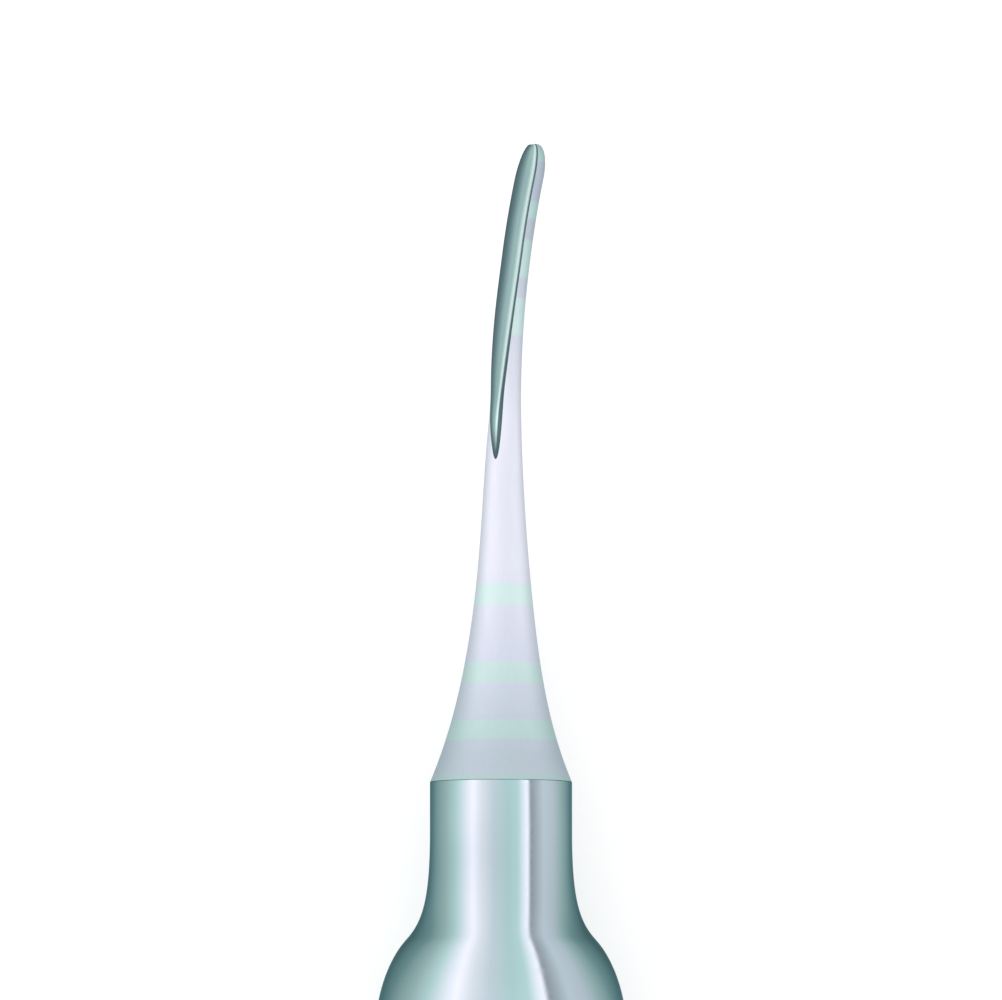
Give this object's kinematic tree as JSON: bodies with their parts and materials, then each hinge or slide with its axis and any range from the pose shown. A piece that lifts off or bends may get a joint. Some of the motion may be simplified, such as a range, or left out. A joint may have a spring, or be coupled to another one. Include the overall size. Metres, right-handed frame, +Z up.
{
  "type": "dental root elevator",
  "caption": "Root elevator with a curved gouge blade on a tapered shank, set in a hollow faceted steel handle with a turned collar.",
  "frame": {"origin": "on the surface the instrument lies on, in the middle of the handle's lowest flat", "axes": "+X along the handle from the tip to the butt, +Y to the side the blade bends to, +Z up from the lowest flat"},
  "size_m": [0.1551, 0.0164, 0.0144],
  "materials": {
    "satin_steel": "satin",
    "polished_steel": "polished"
  },
  "bodies": {
    "root": {"blade_and_shank": "satin_steel", "handle_shell": "polished_steel", "butt_plug": "polished_steel"}
  },
  "joints": []
}
